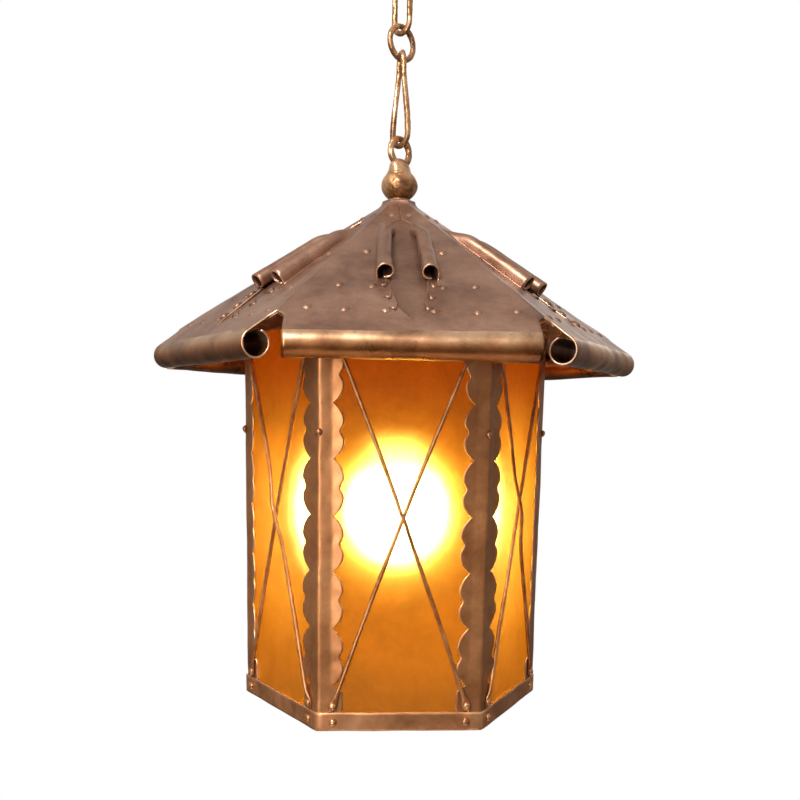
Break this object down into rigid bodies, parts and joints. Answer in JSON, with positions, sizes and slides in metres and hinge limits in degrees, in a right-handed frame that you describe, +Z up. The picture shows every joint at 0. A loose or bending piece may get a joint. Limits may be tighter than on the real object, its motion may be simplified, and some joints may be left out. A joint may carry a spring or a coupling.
{
  "type": "hanging lantern",
  "caption": "Hand-wrought hexagonal hanging lantern: rolled-eave sheet roof with curls, scalloped corner angles, amber mica panes under crossed rods, on a forged chain.",
  "frame": {"origin": "inner top of the upper chain link, where the hook that carries the lantern bears", "axes": "+Z up along the lantern's axis; -Y out of the front face; the body's corners lie on +X and -X"},
  "size_m": [0.3646, 0.33, 0.5818],
  "materials": {
    "roof_copper": "brown patinated copper, hammered",
    "liner_copper": "brown patinated copper",
    "forged_copper": "forged, brown patina, rubbed bright on high places",
    "body_copper": "brown patinated copper, planished",
    "rod_copper": "brown patinated copper wire",
    "rivet_copper": "domed, brown patina",
    "amber_mica": "translucent amber, clouded",
    "plain_steel": "plain",
    "lamp_brass": "satin",
    "porcelain": "glazed",
    "sleeve_fibre": "fibre board",
    "bulb_glass": "frosted",
    "filament": "wire"
  },
  "bodies": {
    "top_link": {"top_link": "forged_copper"},
    "ring_link": {"ring_link": "forged_copper"},
    "lower_link": {"lower_link": "forged_copper"},
    "lantern": {"band_rivets": "rivet_copper", "bottom_band": "body_copper", "corner_angle_1": "body_copper", "corner_angle_2": "body_copper", "corner_angle_3": "body_copper", "corner_angle_4": "body_copper", "corner_angle_5": "body_copper", "corner_angle_6": "body_copper", "crossbar": "plain_steel", "crossbar_nuts": "plain_steel", "finial_ball": "forged_copper", "finial_eye": "forged_copper", "inner_ledge": "body_copper", "lamp_pipe": "plain_steel", "mica_panel_1": "amber_mica", "mica_panel_2": "amber_mica", "mica_panel_3": "amber_mica", "mica_panel_4": "amber_mica", "mica_panel_5": "amber_mica", "mica_panel_6": "amber_mica", "ridge_rivets": "rivet_copper", "rod_over_1": "rod_copper", "rod_over_2": "rod_copper", "rod_over_3": "rod_copper", "rod_over_4": "rod_copper", "rod_over_5": "rod_copper", "rod_over_6": "rod_copper", "rod_rivets": "rivet_copper", "rod_under_1": "rod_copper", "rod_under_2": "rod_copper", "rod_under_3": "rod_copper", "rod_under_4": "rod_copper", "rod_under_5": "rod_copper", "rod_under_6": "rod_copper", "roof_liner": "liner_copper", "roof_nut": "plain_steel", "roof_panel_1": "roof_copper", "roof_panel_2": "roof_copper", "roof_panel_3": "roof_copper", "roof_panel_4": "roof_copper", "roof_panel_5": "roof_copper", "roof_panel_6": "roof_copper", "seat_washer": "plain_steel", "socket_cap": "lamp_brass", "socket_contact": "lamp_brass", "socket_core": "porcelain", "socket_screw_shell": "lamp_brass", "socket_screws": "lamp_brass", "socket_shell": "lamp_brass", "socket_sleeve": "sleeve_fibre", "top_band": "body_copper"},
    "bulb": {"bulb_base": "lamp_brass", "bulb_filament": "filament", "bulb_glass": "bulb_glass", "bulb_stem": "bulb_glass", "bulb_tip": "lamp_brass"}
  },
  "joints": [
    {"name": "ring_swing", "type": "hinge", "parent": "top_link", "child": "ring_link", "pos_m": [0, 0, -0.07025], "axis": [0.6428, -0.766, 0], "range_deg": [-35, 35]},
    {"name": "link_swing", "type": "hinge", "parent": "ring_link", "child": "lower_link", "pos_m": [0, 0, -0.09075], "axis": [0.7431, 0.6691, 0], "range_deg": [-35, 35]},
    {"name": "lantern_swing", "type": "hinge", "parent": "lower_link", "child": "lantern", "pos_m": [0, 0, -0.15825], "axis": [-0.6428, 0.766, 0], "range_deg": [-35, 35]},
    {"name": "bulb_unscrew", "type": "slide", "parent": "lantern", "child": "bulb", "axis": [0, 0, -1], "range_m": [0, 0.024]}
  ]
}
